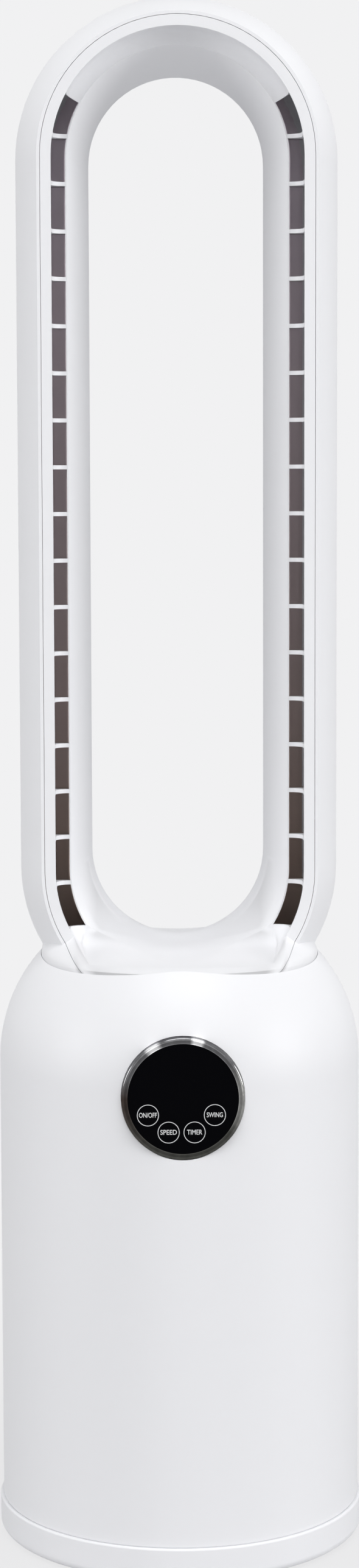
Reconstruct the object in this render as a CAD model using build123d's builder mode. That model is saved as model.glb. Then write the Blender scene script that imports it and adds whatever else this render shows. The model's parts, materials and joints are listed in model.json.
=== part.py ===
from build123d import *
from math import cos, sin, tan, radians, degrees, sqrt, pi, acos
import os

# Bladeless tower fan, millimetres. +Z is up, the front faces -Y, and the origin is the
# centre of the base on the floor. The foot stays still; the tower swings on it.

# ---------- overall ----------
total_height = 965.0          # floor to the top of the loop
housing_radius = 114.0        # straight wall of the base housing
loop_half = 99.8              # half width of the loop, also the radius of both its ends
wall = 2.1                    # moulded skin of the loop
body_wall = 2.6               # moulded skin of the base housing
fit_gap = 0.3                 # between moulded covers
swing_gap = 0.2               # between flat faces that slide when the tower swings
running_gap = 0.05            # radial gap of a shaft in its hole
cut_margin = 5.0              # cutting shapes start this far outside the surface
board_thickness = 1.6

# ---------- screws ----------
screw_gap = 0.2               # clearance of a screw in a plain hole
screw_head_ratio = 1.9        # head radius over shank radius
screw_head_height = 1.8
ballast_screw_count = 3
ballast_screw_radius = 2.0
neck_screw_count = 4
neck_screw_radius = 1.5
neck_screw_inset = 3.6        # outside the shelf's hole
housing_screw_count = 4
housing_screw_radius = 2.0
housing_screw_length = 16.0
housing_screw_inset = 14.0    # inside the housing's outer face
housing_boss_radius = 5.0
housing_boss_height = 28.0
boss_tie_sink = 1.0           # the boss's web ends this far inside the outer face

# ---------- foot ----------
foot_step = 2.0               # the foot stands out this far past the housing
foot_clear = 1.2              # foot underside above the floor
foot_floor = 3.2              # thickness of the foot's floor
foot_top = 22.1
foot_wall = 3.0
foot_edge_round = 5.0
foot_lip_round = 1.2
pad_radius = 9.0
pad_count = 6
pad_inset = 18.0              # pad centres inside the foot's edge
pad_seat = 1.8                # depth of a pad's recess
pad_edge = 0.4
rib_inset = 24.0              # bearing rib inside the foot's edge
rib_width = 6.0
rib_height = 7.6
ballast_rib_gap = 2.0
ballast_pinion_gap = 2.45
ballast_thickness = 6.0
gland_height = 7.5            # above the foot's floor
gland_radius = 6.0
gland_wall = 2.4
gland_rim = 2.5               # the flange stands out this far past the barrel
gland_flange = 1.6
gland_length = 8.0            # behind its flange
gland_sink = 0.3              # its face lies this far inside the foot's rim
gland_way = 8.0               # its hole runs this far past the bearing rib

# ---------- swing drive ----------
spindle_radius = 12.0
spindle_wall = 3.5
spindle_flange_width = 8.0
spindle_flange = 2.8
gear_module = 1.25
sun_teeth = 40
pinion_teeth = 14
pressure_angle = 20.0
addendum = 0.8                # in modules, stub teeth
dedendum = 1.1
backlash = 0.16
mesh_gap = 0.05               # added to the centre distance
gear_thickness = 6.5
pinion_lift = 0.5
pinion_shaft_radius = 3.0
shaft_clear = 2.0             # round the pinion's shaft in the plate
swing_can_radius = 23.0
swing_can_height = 16.0
swing_can_edge = 1.2
can_gap = 1.5                 # between the can and the spindle's cap
swing_ear_length = 62.0
swing_ear_width = 9.0
swing_ear_thickness = 1.6

# ---------- turntable ----------
turntable_thickness = 3.0
hub_wall = 3.95
hub_height = 10.5             # above the plate
hub_drop = 3.0                # below the plate
slide_height = 6.5
slide_edge = 0.8
rim_height = 14.0
rim_wall = 2.5
rim_drop = 0.4                # the rim reaches this far below the housing's edge
skirt_step = 2.1              # the plate's edge inside the rim
cap_overhang = 2.8
cap_thickness = 3.0
cap_edge = 0.8
cap_step = 1.5                # depth of the spindle's shoulder under the cap
board_post_radius = 3.0
board_post_inset = 4.0
power_board_rise = 8.0
power_board_gap = 14.0        # between the board and a housing boss
power_board_width = 46.0
power_board_length = 84.0
transformer_size = (24.0, 26.0, 20.0)
transformer_place = (-4.0, -20.0)
capacitor_radius = 6.0
capacitor_height = 24.0
capacitor_places = [(-8.0, 14.0), (8.0, 14.0), (-8.0, 30.0)]

# ---------- base housing ----------
seam_gap = 0.8                # shadow gap between the foot and the housing
crown_offset = 14.0           # centre of the shoulder's arc, out from the axis
dome_rim_z = 373.35           # where the dome meets the side of the loop's foot
mouth_side_step = 27.0        # the loop's foot stands in this far from the straight wall
mouth_front_step = 27.0       # the same in front and behind
mouth_flat = 9.0              # half length of the flat between the mouth's rounded corners
shelf_z = 356.0
shelf_thickness = 3.0
shelf_width = 5.0             # from the front of the loop's foot to the shelf's hole
shelf_root = 0.6              # the shelf runs this far into the dome's skin
brow_width = 1.0              # the dome's skin is drawn in to this far outside the shelf's hole

# ---------- rear air intake ----------
intake_low = 52.0
intake_high = 254.0
intake_half_angle = 56.0
rebate = 4.0                  # the grille's flange overlaps the opening by this much
flange_thickness = 1.3
grille_depth = 3.6
slot_count = 31               # across the grille
slot_rows = 3
slot_width = 3.0
slot_bar = 8.0                # height of the solid bars between the rows
slot_side = 3.0               # degrees of plain grille at each side
screen_thickness = 0.9
screen_inset = 1.0            # of the screen inside the opening, in millimetres and in degrees

# ---------- display ----------
display_z = 300.0
bezel_radius = 37.3
bezel_proud = 0.3             # its face stands this far in front of the straight wall
bezel_depth = 13.0
bezel_round = 1.4
bezel_width = 3.8
glass_seat = 2.0              # width of the lip behind the glass
glass_thickness = 2.0
glass_recess = 0.5
control_board_inset = 2.5
digit_block = (30.0, 12.0, 4.0)
digit_block_rise = 6.0
key_block = (10.0, 8.0)
key_block_place = (12.0, -12.0)

# ---------- air mover ----------
frame_inset = 16.0            # carrier ring inside the housing's outer face
frame_ring_thickness = 3.0
frame_leg_count = 4
frame_leg_width = 14.0
frame_leg_depth = 7.0
frame_foot_spread = 4.0       # a leg's foot is this much wider all round
frame_foot_shift = 2.0
frame_foot_thickness = 2.5
frame_foot_round = 3.0
isolator_radius = 6.0
isolator_height = 4.0
isolator_edge = 0.6
duct_wall = 2.2
inlet_low = 98.0
bell_radius = 18.0            # quarter round of the inlet's mouth
throat_length = 14.0
exit_length = 24.0
exit_flare = 4.0
inlet_flange_width = 9.5
flange_clear = 2.5            # inlet's flange inside the carrier ring
duct_flare = 16.0             # the outer duct widens this much past the throat
duct_gap = 4.0                # between the duct and the edge of the shelf's hole
diffuser_swell = 71.0         # height over which the duct widens
pod_floor = 3.0
pod_height = 61.0
pod_wall = 2.2
motor_gap = 6.8               # between the motor and the pod's skin
motor_radius = 31.0
motor_height = 44.0
motor_cover = 3.0             # closed end of the motor
motor_edge = 2.0
motor_shaft_radius = 4.0
shaft_nose = 8.0              # the shaft stands out this far below the impeller
shaft_end_gap = 4.0
shaft_edge = 0.4
pod_hole_gap = 4.0
stator_count = 9
stator_thickness = 1.8
stator_drop = 9.0             # vanes end this far below the pod's top
stator_bend_radius = 46.0
vane_root = 1.0               # vanes run this far into the pod and the duct
tail_length = 42.0
tail_end_radius = 9.0
tail_middle = (0.78, 0.55)    # share of the pod's radius, and of the tail's length
impeller_entry = 4.0          # the impeller starts this far below the throat
impeller_tail_gap = 5.0
impeller_gap = 0.9            # blade tips to the duct
blade_count = 9
blade_thickness = 1.6
blade_bend_radius = 40.0
blade_entry = 6.0
hub_nose_radius = 14.0
hub_nose_drop = 2.0
hub_middle = (28.0, 20.0)     # radius, and height above the impeller's start
hub_rim_width = 8.0
hub_rim_height = 2.0
nut_radius = 7.5
nut_height = 5.0
seal_height = 4.0
seal_lip = 0.6                # the seal overlaps the duct and the shelf by this much

# ---------- loop ----------
loop_depth_front = 36.0       # front plane, in front of the axis
loop_depth_rear = 44.0
loop_rise = 55.5              # centre of the lower round end above the neck's collar
front_edge_inset = 13.9       # front edge of the rear shell, inside the widest line
groove_inset = 16.0           # parting groove
recess_inset = 22.7           # outer edge of the recessed slot band
slot_band_width = 9.1
inner_taper = 13.0            # the opening narrows this much towards the rear
recess_depth = 19.0           # the slot band lies this far behind the front plane
inner_wall_step = 2.0         # the inner wall starts this far behind the slot band
throat_inset = 10.5           # narrowest place of the opening, in front of the rear
widest_y = 2.0
flank_bow = (4.6, -18.0)      # a point of the front flank: inside the widest line, and depth
rear_bow = (6.3, 28.0)        # the same for the rear flank
rear_flat_inset = 21.8
rear_flat_start = 11.0        # the flat back starts this far outside the opening
rear_lip = (2.0, 2.6)         # a point of the rounded rear lip: past the opening, and depth
core_inset = 5.0              # the filled ring reaches this far into the opening
core_rear_drop = 9.0
throat_rise = 7.5             # lower centre of the opening's narrowest place, above the loop's
rear_flare = 24.0             # behind its narrowest place the opening widens this much
deck_rise = 3.5               # floor of the opening, above the collar's top
deck_round = 110.0            # radius of that floor, from side to side
recess_round = 8.5            # the slot band's floor sweeps up into its outer wall
vent_lip = 0.8                # lip inside the slots
vent_undercut = 2.5           # the slots run this far behind the ring's face
vent_low_drop = 35.5          # lower end of the lowest slot, below the lower centre
vent_end_angle = 29.0         # upper end of the top slot, above level
vent_top_rib_rise = 13.2      # highest separator above the upper centre
vent_low_rib_drop = 8.25      # lowest separator below the lower centre
vent_rib = 2.5
vent_rib_count = 17
vent_rib_depth = 9.0
vent_rib_sink = 1.0           # separators run this far into the recess's outer wall
neck_seat = 12.0              # height of the neck's straight collar
neck_top_rise = 9.5           # the flare ends this far above the lower centre
# sections of the flare, from the collar up: share of its height, inset from the collar's sides,
# shares of the way out to the collar's front and rear, and the corners' share of half the depth
neck_flare = [
    (0.08, 0.6, 0.75, 0.65, 0.90),
    (0.17, 4.0, 0.40, 0.32, 0.90),
    (0.33, 9.5, 0.12, 0.10, 0.92),
    (1.00, 9.0, -0.04, -0.05, 0.95),
]
# the slot band's floor runs out over the neck: in front of the loop, and above the collar's top
runout_start = (0.0, 6.5)
runout_middle = (18.0, 4.7)
runout_end = (50.0, 3.0)
neck_ring_thickness = 4.0

# ---------- worked out: foot and drive ----------
foot_radius = housing_radius + foot_step
foot_floor_top = foot_clear + foot_floor
pad_circle = foot_radius - pad_inset
rib_outer = foot_radius - rib_inset
rib_inner = rib_outer - rib_width
rib_top = foot_floor_top + rib_height
gland_z = foot_floor_top + gland_height
gland_seat_y = foot_radius - gland_sink - gland_flange
housing_low = foot_top + seam_gap
spindle_flange_top = foot_floor_top + spindle_flange
gear_low = spindle_flange_top
plate_low = rib_top + slide_height
slide_top = plate_low - swing_gap
plate_high = plate_low + turntable_thickness
hub_bore = spindle_radius + running_gap
hub_radius = hub_bore + hub_wall
hub_top = plate_high + hub_height
cap_low = hub_top + swing_gap
cap_radius = hub_radius + cap_overhang
cap_neck_radius = spindle_radius - cap_step
sun_pitch_radius = gear_module * sun_teeth / 2
pinion_pitch_radius = gear_module * pinion_teeth / 2
pinion_x = sun_pitch_radius + pinion_pitch_radius + mesh_gap
swing_motor_x = cap_radius + can_gap + swing_can_radius
ballast_inner = pinion_x + pinion_pitch_radius + addendum * gear_module + ballast_pinion_gap
ballast_outer = rib_inner - ballast_rib_gap
ballast_screw_circle = (ballast_inner + ballast_outer) / 2

# ---------- worked out: housing and air mover ----------
rim_radius = housing_radius - body_wall - fit_gap / 2
housing_screw_circle = housing_radius - housing_screw_inset
power_board_z = plate_high + power_board_rise
power_board_x = housing_boss_radius + power_board_gap + power_board_width / 2 - housing_screw_circle
mouth_half = housing_radius - mouth_side_step
mouth_front = housing_radius - mouth_front_step
mouth_corner = mouth_half - mouth_flat
shoulder_radius = housing_radius - crown_offset
shoulder_z = dome_rim_z - sqrt(shoulder_radius**2 - (mouth_half - crown_offset)**2)
shelf_hole = mouth_front - shelf_width
neck_low = shelf_z + shelf_thickness
collar_top = neck_low + neck_seat
neck_screw_circle = shelf_hole + neck_screw_inset
rebate_angle = degrees(rebate / housing_radius)
gap_angle_at_wall = degrees(fit_gap / housing_radius)
display_front = housing_radius + bezel_proud
display_hole = bezel_radius + fit_gap / 2
glass_radius = bezel_radius - bezel_width
diffuser_radius = shelf_hole - duct_gap
throat_radius = diffuser_radius - duct_flare
inlet_mouth_radius = throat_radius + bell_radius
inlet_exit_radius = throat_radius + exit_flare
inlet_flange_radius = inlet_exit_radius + inlet_flange_width
throat_low = inlet_low + bell_radius
throat_high = throat_low + throat_length
flange_z = throat_high + exit_length
frame_ring_z = flange_z - isolator_height - frame_ring_thickness
frame_ring_inner = inlet_flange_radius + flange_clear
frame_ring_outer = housing_radius - frame_inset
frame_ring_middle = (frame_ring_inner + frame_ring_outer) / 2
diffuser_swell_z = flange_z + diffuser_swell
diffuser_top = shelf_z - seal_height
pod_radius = motor_radius + motor_gap + pod_wall
pod_floor_top = flange_z + pod_floor
pod_top = flange_z + pod_height
pod_hole_radius = motor_shaft_radius + pod_hole_gap
stator_top = pod_top - stator_drop
impeller_low = throat_low - impeller_entry
impeller_high = flange_z - impeller_tail_gap
hub_nose_z = impeller_low - hub_nose_drop
hub_rim_radius = throat_radius - hub_rim_width
shaft_low = impeller_low - shaft_nose
shaft_high = pod_floor_top + motor_height - shaft_end_gap

# ---------- worked out: loop ----------
loop_top_centre = total_height - loop_half
loop_low_centre = collar_top + loop_rise
cover_half = loop_half - groove_inset
front_edge_half = loop_half - front_edge_inset
recess_half = loop_half - recess_inset
vent_half = recess_half - slot_band_width
opening_half = vent_half - inner_taper
recess_floor_y = recess_depth - loop_depth_front
vent_y = recess_floor_y + inner_wall_step
throat_y = loop_depth_rear - throat_inset
deck_z = collar_top + deck_rise
neck_top = loop_low_centre + neck_top_rise
vent_low_z = loop_low_centre - vent_low_drop
vent_top_rib = loop_top_centre + vent_top_rib_rise
vent_low_rib = loop_low_centre - vent_low_rib_drop
vent_pitch = (vent_top_rib - vent_low_rib) / (vent_rib_count - 1)
far = 2 * loop_half           # cutting shapes reach past the whole loop


def finish(builder, label):
    """Name a finished piece and write it."""
    builder.part.label = label
    export_step(builder.part, f"parts/{label}.step")


def gear_outline(teeth):
    """Half-tooth angles at three radii of an involute flank, thinned by the backlash."""
    pitch = gear_module * teeth / 2
    base = pitch * cos(radians(pressure_angle))
    outer = pitch + addendum * gear_module
    root = pitch - dedendum * gear_module
    half_at_pitch = pi / (2 * teeth) - backlash / (2 * pitch)
    involute_at_pitch = tan(radians(pressure_angle)) - radians(pressure_angle)

    def half_angle(radius):
        if radius <= base:
            return half_at_pitch + involute_at_pitch
        turn = acos(base / radius)
        return half_at_pitch + involute_at_pitch - (tan(turn) - turn)

    radii = [root, pitch, outer] if root > base else [root, base, pitch, outer]
    return [(radius, half_angle(radius)) for radius in radii]


def gear_points(teeth, first_angle):
    """The closed outline of a gear whose first tooth points along first_angle."""
    flank = gear_outline(teeth)
    points = []
    for tooth in range(teeth):
        middle = radians(first_angle) + 2 * pi * tooth / teeth
        rising = [(radius, middle - half) for radius, half in flank]
        falling = [(radius, middle + half) for radius, half in reversed(flank)]
        points += [(r * cos(angle), r * sin(angle)) for r, angle in rising + falling]
    return points


def azimuth_plane(angle):
    """An upright plane through the main axis; its local x points along angle."""
    turn = radians(angle)
    return Plane(origin=(0, 0, 0), x_dir=(cos(turn), sin(turn), 0), z_dir=(sin(turn), -cos(turn), 0))


def ring_profile(inner, outer, low, high):
    """A rectangle in the XZ plane, to be turned into a ring."""
    with Locations(((inner + outer) / 2, (low + high) / 2)):
        Rectangle(outer - inner, high - low)


def loop_outline(half_width, depth, low_centre=loop_low_centre):
    """The loop's long round-ended outline, upright at the given depth (y)."""
    with BuildSketch(Plane.XZ.offset(-depth)) as outline:
        with BuildLine():
            ThreePointArc((-half_width, loop_top_centre), (0, loop_top_centre + half_width),
                          (half_width, loop_top_centre))
            Line((half_width, loop_top_centre), (half_width, low_centre))
            ThreePointArc((half_width, low_centre), (0, low_centre - half_width),
                          (-half_width, low_centre))
            Line((-half_width, low_centre), (-half_width, loop_top_centre))
        make_face()
    return outline.sketch


def blade_outline(start_radius, end_radius, bend_radius, thickness, height):
    """A thin curved blade seen from above, bowed to one side as it runs outward."""
    chord = end_radius - start_radius
    middle = start_radius + chord / 2
    sag = bend_radius - sqrt(bend_radius**2 - (chord / 2)**2)
    with BuildSketch(Plane.XY.offset(height)) as outline:
        with BuildLine():
            ThreePointArc((start_radius, 0), (middle, sag), (end_radius, 0))
            Line((end_radius, 0), (end_radius, -thickness))
            ThreePointArc((end_radius, -thickness), (middle, sag - thickness), (start_radius, -thickness))
            Line((start_radius, -thickness), (start_radius, 0))
        make_face()
    return outline.sketch


os.makedirs("parts", exist_ok=True)

# ================= foot: everything that stays still =================

with BuildPart() as foot_shell:
    with BuildSketch(Plane.XZ) as profile:
        with BuildLine():
            Polyline((0, foot_clear), (foot_radius, foot_clear), (foot_radius, foot_top),
                     (foot_radius - foot_wall, foot_top), (foot_radius - foot_wall, foot_floor_top),
                     (rib_outer, foot_floor_top), (rib_outer, rib_top), (rib_inner, rib_top),
                     (rib_inner, foot_floor_top), (0, foot_floor_top), close=True)
        make_face()
        lower_edge = profile.vertices().group_by(Axis.X)[-1].sort_by(Axis.Y)[0]
        fillet(lower_edge, foot_edge_round)
        upper_edge = profile.vertices().group_by(Axis.X)[-1].sort_by(Axis.Y)[-1]
        fillet(upper_edge, foot_lip_round)
    revolve(axis=Axis.Z)
    with BuildSketch(Plane.XY.offset(foot_clear)):
        with PolarLocations(pad_circle, pad_count):
            Circle(pad_radius + fit_gap / 2)
    extrude(amount=pad_seat, mode=Mode.SUBTRACT)
    # way in for the mains lead, at the back, with a shallow seat for the gland's flange
    with BuildSketch(Plane.XZ.offset(-foot_radius - cut_margin)):
        with Locations((0, gland_z)):
            Circle(gland_radius)
    extrude(amount=foot_radius + cut_margin - rib_inner + gland_way, mode=Mode.SUBTRACT)
    with BuildSketch(Plane.XZ.offset(-gland_seat_y)):
        with Locations((0, gland_z)):
            Circle(gland_radius + gland_rim + fit_gap / 2)
    extrude(amount=-2 * gland_flange, mode=Mode.SUBTRACT)
finish(foot_shell, "foot_shell")

with BuildPart() as rubber_feet:
    with BuildSketch():
        with PolarLocations(pad_circle, pad_count):
            Circle(pad_radius)
    extrude(amount=foot_clear + pad_seat)
    chamfer(rubber_feet.faces().sort_by(Axis.Z)[:pad_count].edges(), pad_edge)
finish(rubber_feet, "rubber_feet")

with BuildPart() as cord_gland:
    with BuildSketch(Plane.XZ.offset(-gland_seat_y)):
        with Locations((0, gland_z)):
            Circle(gland_radius)
    extrude(amount=gland_length)
    with BuildSketch(Plane.XZ.offset(-gland_seat_y)):
        with Locations((0, gland_z)):
            Circle(gland_radius + gland_rim)
    extrude(amount=-gland_flange)
    with BuildSketch(Plane.XZ.offset(-gland_seat_y - gland_flange)):
        with Locations((0, gland_z)):
            Circle(gland_radius - gland_wall)
    extrude(amount=gland_length + gland_flange, mode=Mode.SUBTRACT)
finish(cord_gland, "cord_gland")

with BuildPart() as ballast_plate:
    with BuildSketch(Plane.XY.offset(foot_floor_top)):
        Circle(ballast_outer)
        Circle(ballast_inner, mode=Mode.SUBTRACT)
        with PolarLocations(ballast_screw_circle, ballast_screw_count, start_angle=30):
            Circle(ballast_screw_radius + screw_gap, mode=Mode.SUBTRACT)
    extrude(amount=ballast_thickness)
finish(ballast_plate, "ballast_plate")

with BuildPart() as ballast_screws:
    with BuildSketch(Plane.XY.offset(foot_floor_top)):
        with PolarLocations(ballast_screw_circle, ballast_screw_count, start_angle=30):
            Circle(ballast_screw_radius)
    extrude(amount=ballast_thickness)
    with BuildSketch(Plane.XY.offset(foot_floor_top + ballast_thickness)):
        with PolarLocations(ballast_screw_circle, ballast_screw_count, start_angle=30):
            Circle(screw_head_ratio * ballast_screw_radius)
    extrude(amount=screw_head_height)
finish(ballast_screws, "ballast_screws")

with BuildPart() as pivot_spindle:
    with BuildSketch(Plane.XZ):
        with BuildLine():
            bore = spindle_radius - spindle_wall
            flange_edge = spindle_radius + spindle_flange_width
            Polyline((bore, foot_floor_top), (flange_edge, foot_floor_top),
                     (flange_edge, spindle_flange_top), (spindle_radius, spindle_flange_top),
                     (spindle_radius, cap_low), (cap_neck_radius, cap_low),
                     (cap_neck_radius, cap_low + cap_thickness), (bore, cap_low + cap_thickness),
                     close=True)
        make_face()
    revolve(axis=Axis.Z)
finish(pivot_spindle, "pivot_spindle")

with BuildPart() as spindle_cap:
    with BuildSketch(Plane.XY.offset(cap_low)):
        Circle(cap_radius)
        Circle(cap_neck_radius, mode=Mode.SUBTRACT)
    extrude(amount=cap_thickness)
    chamfer(spindle_cap.faces().sort_by(Axis.Z)[-1].edges().sort_by(SortBy.RADIUS)[-1], cap_edge)
finish(spindle_cap, "spindle_cap")

with BuildPart() as swing_gear:
    with BuildSketch(Plane.XY.offset(gear_low)):
        with BuildLine():
            Polyline(*gear_points(sun_teeth, 0), close=True)
        make_face()
        Circle(spindle_radius, mode=Mode.SUBTRACT)
    extrude(amount=gear_thickness)
finish(swing_gear, "swing_gear")

with BuildPart() as slide_ring:
    with BuildSketch(Plane.XZ):
        ring_profile(rib_inner, rib_outer, rib_top, slide_top)
    revolve(axis=Axis.Z)
    chamfer(slide_ring.faces().sort_by(Axis.Z)[-1].edges(), slide_edge)
finish(slide_ring, "slide_ring")

# ================= pinion: turns as the tower swings =================

with BuildPart() as swing_pinion:
    gap_angle = 180 + 180 / pinion_teeth
    with BuildSketch(Plane.XY.offset(gear_low + pinion_lift)):
        with BuildLine():
            teeth = [(pinion_x + x, y) for x, y in gear_points(pinion_teeth, gap_angle)]
            Polyline(*teeth, close=True)
        make_face()
        with Locations((pinion_x, 0)):
            Circle(pinion_shaft_radius, mode=Mode.SUBTRACT)
    extrude(amount=gear_thickness - 2 * pinion_lift)
finish(swing_pinion, "swing_pinion")

with BuildPart() as pinion_shaft:
    with BuildSketch(Plane.XY.offset(gear_low + pinion_lift)):
        with Locations((pinion_x, 0)):
            Circle(pinion_shaft_radius)
    extrude(amount=plate_high + swing_can_height / 2 - gear_low - pinion_lift)
finish(pinion_shaft, "pinion_shaft")

# ================= tower: everything that swings =================

with BuildPart() as turntable:
    with BuildSketch(Plane.XZ):
        with BuildLine():
            skirt = rim_radius - skirt_step
            rim_low = housing_low - rim_drop
            rim_high = housing_low + rim_height
            Polyline((hub_bore, plate_low - hub_drop), (hub_radius, plate_low - hub_drop),
                     (hub_radius, plate_low), (skirt, plate_low), (skirt, rim_low), (rim_radius, rim_low),
                     (rim_radius, rim_high), (rim_radius - rim_wall, rim_high),
                     (rim_radius - rim_wall, plate_high), (hub_radius, plate_high),
                     (hub_radius, hub_top), (hub_bore, hub_top), close=True)
        make_face()
    revolve(axis=Axis.Z)
    with BuildSketch(Plane.XY.offset(plate_low)):
        with Locations((pinion_x, 0)):
            Circle(pinion_shaft_radius + shaft_clear)
        with PolarLocations(housing_screw_circle, housing_screw_count):
            Circle(housing_screw_radius)
    extrude(amount=turntable_thickness, mode=Mode.SUBTRACT)
    # posts that carry the power board
    with BuildSketch(Plane.XY.offset(plate_high)):
        with Locations((power_board_x, 0)):
            with GridLocations(power_board_width - 2 * board_post_inset,
                               power_board_length - 2 * board_post_inset, 2, 2):
                Circle(board_post_radius)
    extrude(amount=power_board_rise)
finish(turntable, "turntable")

with BuildPart() as swing_motor:
    with BuildSketch(Plane.XY.offset(plate_high)):
        with Locations((swing_motor_x, 0)):
            Circle(swing_can_radius)
            SlotOverall(swing_ear_length, swing_ear_width, rotation=90)
    extrude(amount=swing_ear_thickness)
    with BuildSketch(Plane.XY.offset(plate_high)):
        with Locations((swing_motor_x, 0)):
            Circle(swing_can_radius)
    extrude(amount=swing_can_height)
    chamfer(swing_motor.faces().sort_by(Axis.Z)[-1].edges(), swing_can_edge)
    with BuildSketch(Plane.XY.offset(plate_high)):
        with Locations((pinion_x, 0)):
            Circle(pinion_shaft_radius + running_gap)
    extrude(amount=swing_can_height / 2 + pinion_lift, mode=Mode.SUBTRACT)
finish(swing_motor, "swing_motor")

with BuildPart() as power_board:
    with BuildSketch(Plane.XY.offset(power_board_z)):
        with Locations((power_board_x, 0)):
            Rectangle(power_board_width, power_board_length)
    extrude(amount=board_thickness)
    board_top = power_board_z + board_thickness
    with BuildSketch(Plane.XY.offset(board_top)):
        with Locations((power_board_x + transformer_place[0], transformer_place[1])):
            Rectangle(transformer_size[0], transformer_size[1])
    extrude(amount=transformer_size[2])
    with BuildSketch(Plane.XY.offset(board_top)):
        with Locations(*[(power_board_x + x, y) for x, y in capacitor_places]):
            Circle(capacitor_radius)
    extrude(amount=capacitor_height)
finish(power_board, "power_board")


def dome_arc(radius):
    """The shoulder's arc, from the straight wall up and in to the edge of the brow."""
    brow_x = shelf_hole + brow_width
    turn = degrees(acos((brow_x - crown_offset) / radius))
    return JernArc((crown_offset + radius, shoulder_z), (0, 1), radius, turn)


with BuildPart() as housing:
    with BuildSketch(Plane.XZ):
        with BuildLine():
            outer_arc = dome_arc(shoulder_radius)
            inner_arc = dome_arc(shoulder_radius - body_wall)
            Polyline(outer_arc @ 0, (housing_radius, housing_low), (housing_radius - body_wall, housing_low),
                     inner_arc @ 0)
            Line(outer_arc @ 1, inner_arc @ 1)
        make_face()
    revolve(axis=Axis.Z)
    # shelf that carries the loop
    with BuildSketch(Plane.XZ):
        inner_reach = sqrt((shoulder_radius - body_wall)**2 - (shelf_z - shoulder_z)**2)
        ring_profile(shelf_hole, crown_offset + inner_reach + shelf_root, shelf_z, neck_low)
    revolve(axis=Axis.Z)
    with BuildSketch(Plane.XY.offset(shelf_z)):
        with PolarLocations(neck_screw_circle, neck_screw_count, start_angle=45):
            Circle(neck_screw_radius)
    extrude(amount=shelf_thickness, mode=Mode.SUBTRACT)
    # screw bosses that stand on the turntable, each tied to the wall above the turntable's rim
    with BuildSketch(Plane.XY.offset(plate_high)):
        with PolarLocations(housing_screw_circle, housing_screw_count):
            Circle(housing_boss_radius)
    extrude(amount=housing_boss_height)
    tie_end = housing_radius - boss_tie_sink
    tie_low = housing_low + rim_height + fit_gap
    with BuildSketch(Plane.XY.offset(tie_low)):
        with PolarLocations((housing_screw_circle + tie_end) / 2, housing_screw_count):
            Rectangle(tie_end - housing_screw_circle, housing_boss_radius)
    extrude(amount=plate_high + housing_boss_height - tie_low)
    with BuildSketch(Plane.XY.offset(plate_high)):
        with PolarLocations(housing_screw_circle, housing_screw_count):
            Circle(housing_screw_radius)
    extrude(amount=housing_screw_length - turntable_thickness, mode=Mode.SUBTRACT)
    # mouth for the foot of the loop
    with BuildSketch(Plane.XY.offset(neck_low)):
        RectangleRounded(2 * (mouth_half + fit_gap), 2 * (mouth_front + fit_gap), mouth_corner + fit_gap)
    extrude(amount=shoulder_radius, mode=Mode.SUBTRACT)
    # round hole for the display
    with BuildSketch(Plane.XZ.offset(housing_radius + cut_margin)):
        with Locations((0, display_z)):
            Circle(display_hole)
    extrude(amount=-housing_radius - cut_margin, mode=Mode.SUBTRACT)
    # air intake at the back, with a rebate for the grille's flange
    with BuildSketch(azimuth_plane(90 - intake_half_angle)):
        ring_profile(housing_radius - 2 * body_wall, housing_radius + cut_margin, intake_low, intake_high)
    revolve(axis=Axis.Z, revolution_arc=2 * intake_half_angle, mode=Mode.SUBTRACT)
    with BuildSketch(azimuth_plane(90 - intake_half_angle - rebate_angle)):
        ring_profile(housing_radius - flange_thickness, housing_radius + cut_margin,
                     intake_low - rebate, intake_high + rebate)
    revolve(axis=Axis.Z, revolution_arc=2 * (intake_half_angle + rebate_angle), mode=Mode.SUBTRACT)
finish(housing, "housing")

with BuildPart() as intake_grille:
    body_turn = intake_half_angle - gap_angle_at_wall
    flange_turn = intake_half_angle + rebate_angle - gap_angle_at_wall
    with BuildSketch(azimuth_plane(90 - flange_turn)):
        ring_profile(housing_radius - flange_thickness, housing_radius,
                     intake_low - rebate + fit_gap, intake_high + rebate - fit_gap)
    revolve(axis=Axis.Z, revolution_arc=2 * flange_turn)
    with BuildSketch(azimuth_plane(90 - body_turn)):
        ring_profile(housing_radius - grille_depth, housing_radius - flange_thickness,
                     intake_low + fit_gap, intake_high - fit_gap)
    revolve(axis=Axis.Z, revolution_arc=2 * body_turn)
    # upright slots in rows
    row_height = (intake_high - intake_low - (slot_rows + 1) * slot_bar) / slot_rows
    slot_step = 2 * (body_turn - slot_side) / slot_count
    first_slot = 90 - (slot_count - 1) / 2 * slot_step
    for column in range(slot_count):
        with BuildSketch(Plane.XY.offset(intake_low + slot_bar)):
            with PolarLocations(housing_radius, 1, start_angle=first_slot + column * slot_step):
                Rectangle(3 * grille_depth, slot_width)
        extrude(amount=intake_high - intake_low - 2 * slot_bar, mode=Mode.SUBTRACT)
    for row in range(1, slot_rows):
        bar_low = intake_low + row * (row_height + slot_bar)
        with BuildSketch(azimuth_plane(90 - body_turn + screen_inset)):
            ring_profile(housing_radius - grille_depth, housing_radius, bar_low, bar_low + slot_bar)
        revolve(axis=Axis.Z, revolution_arc=2 * (body_turn - screen_inset))
finish(intake_grille, "intake_grille")

with BuildPart() as dust_screen:
    with BuildSketch(azimuth_plane(90 - body_turn + screen_inset)):
        screen_radius = housing_radius - grille_depth
        ring_profile(screen_radius - screen_thickness, screen_radius,
                     intake_low + screen_inset, intake_high - screen_inset)
    revolve(axis=Axis.Z, revolution_arc=2 * (body_turn - screen_inset))
finish(dust_screen, "dust_screen")

glass_back = display_front - glass_recess - glass_thickness

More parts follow.
